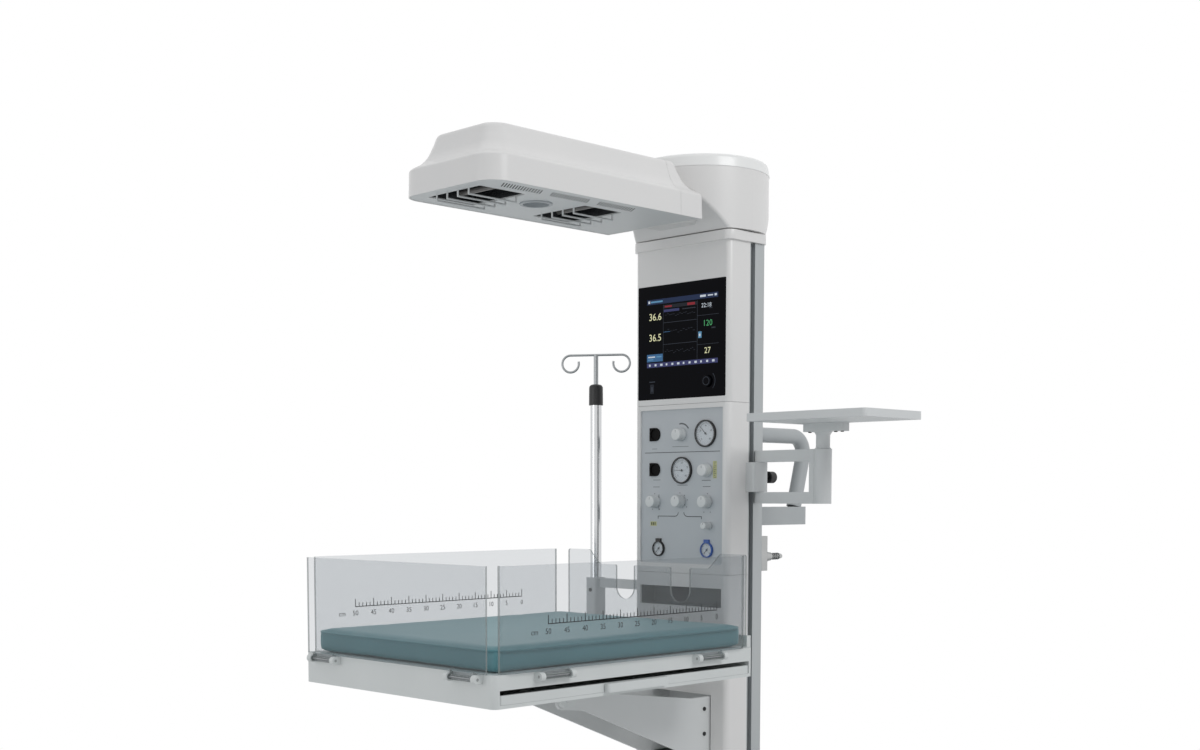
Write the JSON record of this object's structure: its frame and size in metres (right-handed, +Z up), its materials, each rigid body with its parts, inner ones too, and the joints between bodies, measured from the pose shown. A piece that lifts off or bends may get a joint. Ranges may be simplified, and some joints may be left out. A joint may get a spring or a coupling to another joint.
{
  "type": "infant incubator",
  "caption": "Open infant warmer: castered column with monitor and gas controls, tilting bed with clear folding panels, overhead heater head, drip pole and side shelf.",
  "frame": {"origin": "on the floor, at the middle of the whole object's footprint box", "axes": "+X to the right as a user at the foot of the bed sees it, +Y from the bed's foot to the column, +Z up"},
  "size_m": [1.0606, 1.2296, 1.994],
  "materials": {
    "white_shell": "satin",
    "white_metal": "satin powder coat",
    "panel_grey": "matt",
    "anodised": "satin anodised",
    "dark_glass": "gloss",
    "clear_sheet": "clear",
    "clear_lens": "clear",
    "black_plastic": "matt",
    "knob_white": "satin",
    "port_green": "satin",
    "dial_case": "satin",
    "needle_red": "matt",
    "steel": "satin",
    "chrome": "polished",
    "vinyl": "satin coated",
    "tray_plastic": "satin",
    "wire_white": "gloss",
    "quartz": "satin",
    "tyre": "matt",
    "lamp_lens": "frosted"
  },
  "bodies": {
    "stand": {"trolley_base": "white_metal", "column_mast": "anodised", "lower_cover": "white_shell", "gas_cover": "white_shell", "monitor_cover": "white_shell", "collar_plate": "white_shell", "display_glass": "dark_glass", "gas_panel": "panel_grey", "gas_ports": "port_green", "gauge_cases": "dial_case", "gauge_lenses": "clear_lens", "push_handles": "white_metal", "gas_inlet": "steel", "shelf_clamp": "white_metal", "iv_bracket": "white_metal", "iv_tube": "chrome", "iv_cap": "black_plastic", "bed_support": "white_metal"},
    "head": {"swivel_drum": "white_shell", "drum_cap": "white_shell", "swivel_arm": "white_metal", "head_shell": "white_shell", "head_rear_shell": "white_shell", "head_pan": "white_metal", "heater_guards": "wire_white", "heater_elements": "quartz", "heater_reflectors": "steel", "exam_lamp": "lamp_lens"},
    "drip_rod": {"iv_rod": "chrome"},
    "shelf_arm": {"shelf_fork": "white_metal"},
    "shelf_table": {"shelf_post": "white_metal", "shelf_top": "white_shell"},
    "clamp_screw": {"clamp_knob": "black_plastic"},
    "bed": {"bed_tray": "tray_plastic", "mattress": "vinyl", "hinge_pins": "steel"},
    "cassette_drawer": {"xray_tray": "tray_plastic"},
    "right_panel": {"panel_right": "clear_sheet"},
    "left_panel": {"panel_left": "clear_sheet"},
    "foot_panel": {"panel_foot": "clear_sheet"},
    "head_panel": {"panel_head": "clear_sheet"},
    "selector": {"encoder_knob": "black_plastic"},
    "suction_control": {"suction_knob": "knob_white"},
    "pressure_control": {"pressure_knob": "knob_white"},
    "left_flow_control": {"left_flow_knob": "knob_white"},
    "mix_control": {"mix_knob": "knob_white"},
    "right_flow_control": {"right_flow_knob": "knob_white"},
    "tap_control": {"suction_tap": "knob_white"},
    "airway_pointer": {"airway_needle": "needle_red"},
    "vacuum_pointer": {"vacuum_needle": "needle_red"},
    "oxygen_pointer": {"oxygen_needle": "needle_red"},
    "air_pointer": {"air_needle": "needle_red"},
    "front_left_caster": {"front_left_fork": "steel"},
    "front_left_roller": {"front_left_wheel": "tyre"},
    "front_right_caster": {"front_right_fork": "steel"},
    "front_right_roller": {"front_right_wheel": "tyre"},
    "rear_left_caster": {"rear_left_fork": "steel"},
    "rear_left_roller": {"rear_left_wheel": "tyre"},
    "rear_right_caster": {"rear_right_fork": "steel"},
    "rear_right_roller": {"rear_right_wheel": "tyre"}
  },
  "joints": [
    {"name": "head_swivel", "type": "hinge", "parent": "stand", "child": "head", "pos_m": [-0.08084, 0.34018, 1.826], "axis": [0, 0, 1], "range_deg": [-90, 90]},
    {"name": "drip_rod_height", "type": "slide", "parent": "stand", "child": "drip_rod", "axis": [0, 0, 1], "range_m": [-0.05, 0.2]},
    {"name": "shelf_arm_swing", "type": "hinge", "parent": "stand", "child": "shelf_arm", "pos_m": [0.08716, 0.37368, 1.251], "axis": [0, 0, 1], "range_deg": [-70, 60]},
    {"name": "shelf_turn", "type": "hinge", "parent": "shelf_arm", "child": "shelf_table", "pos_m": [0.27992, 0.35681, 1.315], "axis": [0, 0, 1], "range_deg": [-15, 45]},
    {"name": "clamp_screw_turn", "type": "hinge", "parent": "stand", "child": "clamp_screw", "pos_m": [0.08516, 0.39068, 1.251], "axis": [0, 1, 0], "range_deg": [-180, 180]},
    {"name": "bed_tilt", "type": "hinge", "parent": "stand", "child": "bed", "pos_m": [-0.08084, -0.20632, 0.77], "axis": [1, 0, 0], "range_deg": [-10, 10]},
    {"name": "cassette_slide", "type": "slide", "parent": "bed", "child": "cassette_drawer", "axis": [1, 0, 0], "range_m": [0, 0.3]},
    {"name": "right_panel_fold", "type": "hinge", "parent": "bed", "child": "right_panel", "pos_m": [0.24266, -0.21132, 0.8595], "axis": [0, -1, 0], "range_deg": [-178, 0]},
    {"name": "left_panel_fold", "type": "hinge", "parent": "bed", "child": "left_panel", "pos_m": [-0.40434, -0.21132, 0.8595], "axis": [0, 1, 0], "range_deg": [-178, 0]},
    {"name": "foot_panel_fold", "type": "hinge", "parent": "bed", "child": "foot_panel", "pos_m": [-0.08084, -0.60632, 0.8595], "axis": [1, 0, 0], "range_deg": [0, 178]},
    {"name": "head_panel_lift", "type": "slide", "parent": "bed", "child": "head_panel", "axis": [0, 0, 1], "range_m": [0, 0.15]},
    {"name": "selector_turn", "type": "hinge", "parent": "stand", "child": "selector", "pos_m": [0.00316, 0.27418, 1.4775], "axis": [0, 1, 0], "continuous": true},
    {"name": "suction_knob_turn", "type": "hinge", "parent": "stand", "child": "suction_control", "pos_m": [-0.08184, 0.27868, 1.354], "axis": [0, 1, 0], "range_deg": [-135, 135]},
    {"name": "pressure_knob_turn", "type": "hinge", "parent": "stand", "child": "pressure_control", "pos_m": [0.00116, 0.27868, 1.2675], "axis": [0, 1, 0], "range_deg": [-135, 135]},
    {"name": "left_flow_knob_turn", "type": "hinge", "parent": "stand", "child": "left_flow_control", "pos_m": [-0.16634, 0.27868, 1.193], "axis": [0, 1, 0], "range_deg": [-135, 135]},
    {"name": "mix_knob_turn", "type": "hinge", "parent": "stand", "child": "mix_control", "pos_m": [-0.08334, 0.27868, 1.194], "axis": [0, 1, 0], "range_deg": [-135, 135]},
    {"name": "right_flow_knob_turn", "type": "hinge", "parent": "stand", "child": "right_flow_control", "pos_m": [0.00116, 0.27868, 1.193], "axis": [0, 1, 0], "range_deg": [-135, 135]},
    {"name": "suction_tap_turn", "type": "hinge", "parent": "stand", "child": "tap_control", "pos_m": [0.00816, 0.27868, 1.136], "axis": [0, 1, 0], "range_deg": [-135, 135]},
    {"name": "airway_needle_turn", "type": "hinge", "parent": "stand", "child": "airway_pointer", "pos_m": [-0.00384, 0.27868, 1.3545], "axis": [0, 1, 0], "range_deg": [-90, 180]},
    {"name": "vacuum_needle_turn", "type": "hinge", "parent": "stand", "child": "vacuum_pointer", "pos_m": [-0.07884, 0.27868, 1.2682], "axis": [0, 1, 0], "range_deg": [-45, 225]},
    {"name": "oxygen_needle_turn", "type": "hinge", "parent": "stand", "child": "oxygen_pointer", "pos_m": [-0.15334, 0.27868, 1.078], "axis": [0, 1, 0], "range_deg": [0, 270]},
    {"name": "air_needle_turn", "type": "hinge", "parent": "stand", "child": "air_pointer", "pos_m": [0.00216, 0.27868, 1.078], "axis": [0, 1, 0], "range_deg": [0, 270]},
    {"name": "front_left_swivel", "type": "hinge", "parent": "stand", "child": "front_left_caster", "pos_m": [-0.34284, -0.43132, 0.138], "axis": [0, 0, 1], "continuous": true},
    {"name": "front_left_roll", "type": "hinge", "parent": "front_left_caster", "child": "front_left_roller", "pos_m": [-0.34284, -0.40332, 0.0625], "axis": [1, 0, 0], "continuous": true},
    {"name": "front_right_swivel", "type": "hinge", "parent": "stand", "child": "front_right_caster", "pos_m": [0.18116, -0.43132, 0.138], "axis": [0, 0, 1], "continuous": true},
    {"name": "front_right_roll", "type": "hinge", "parent": "front_right_caster", "child": "front_right_roller", "pos_m": [0.18116, -0.40332, 0.0625], "axis": [1, 0, 0], "continuous": true},
    {"name": "rear_left_swivel", "type": "hinge", "parent": "stand", "child": "rear_left_caster", "pos_m": [-0.34284, 0.46868, 0.138], "axis": [0, 0, 1], "continuous": true},
    {"name": "rear_left_roll", "type": "hinge", "parent": "rear_left_caster", "child": "rear_left_roller", "pos_m": [-0.34284, 0.49668, 0.0625], "axis": [1, 0, 0], "continuous": true},
    {"name": "rear_right_swivel", "type": "hinge", "parent": "stand", "child": "rear_right_caster", "pos_m": [0.18116, 0.46868, 0.138], "axis": [0, 0, 1], "continuous": true},
    {"name": "rear_right_roll", "type": "hinge", "parent": "rear_right_caster", "child": "rear_right_roller", "pos_m": [0.18116, 0.49668, 0.0625], "axis": [1, 0, 0], "continuous": true}
  ]
}
